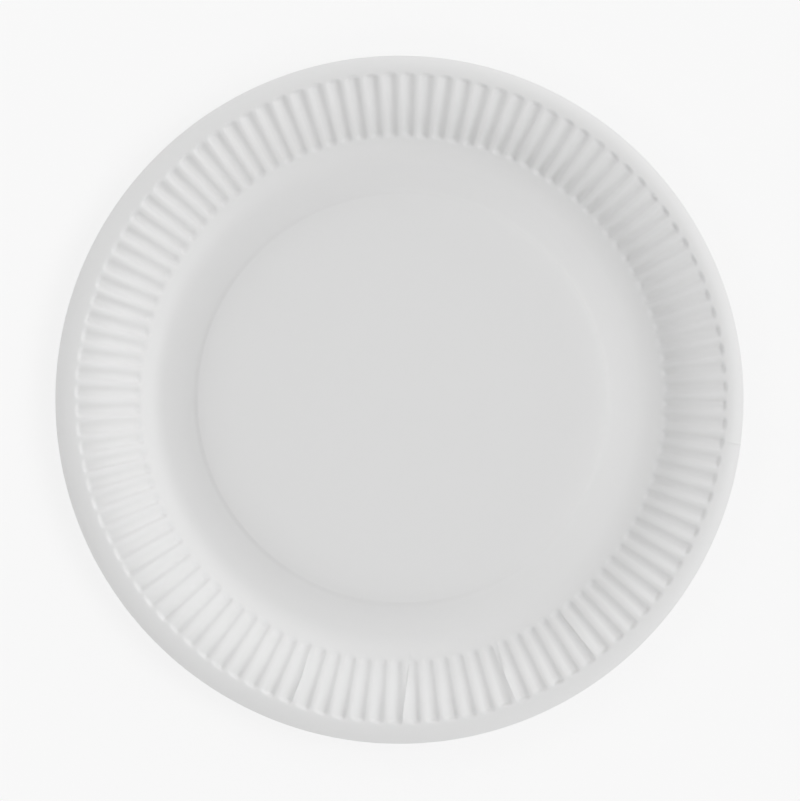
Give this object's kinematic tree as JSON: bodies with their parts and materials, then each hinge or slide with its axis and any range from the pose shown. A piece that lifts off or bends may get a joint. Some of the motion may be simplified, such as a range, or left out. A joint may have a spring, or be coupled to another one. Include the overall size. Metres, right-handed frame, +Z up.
{
  "type": "paper plate",
  "caption": "Round shallow plate pressed from one sheet of white board, with a slightly raised middle, a fluted sloping wall and a smooth rolled-down lip.",
  "frame": {"origin": "middle of the round blank, on the surface that the foot stands on", "axes": "+Z up, out of the well; +X to the right in the picture, seen from above"},
  "size_m": [0.23, 0.23, 0.0156],
  "materials": {
    "paperboard": "matte"
  },
  "bodies": {
    "root": {"plate": "paperboard"}
  },
  "joints": []
}
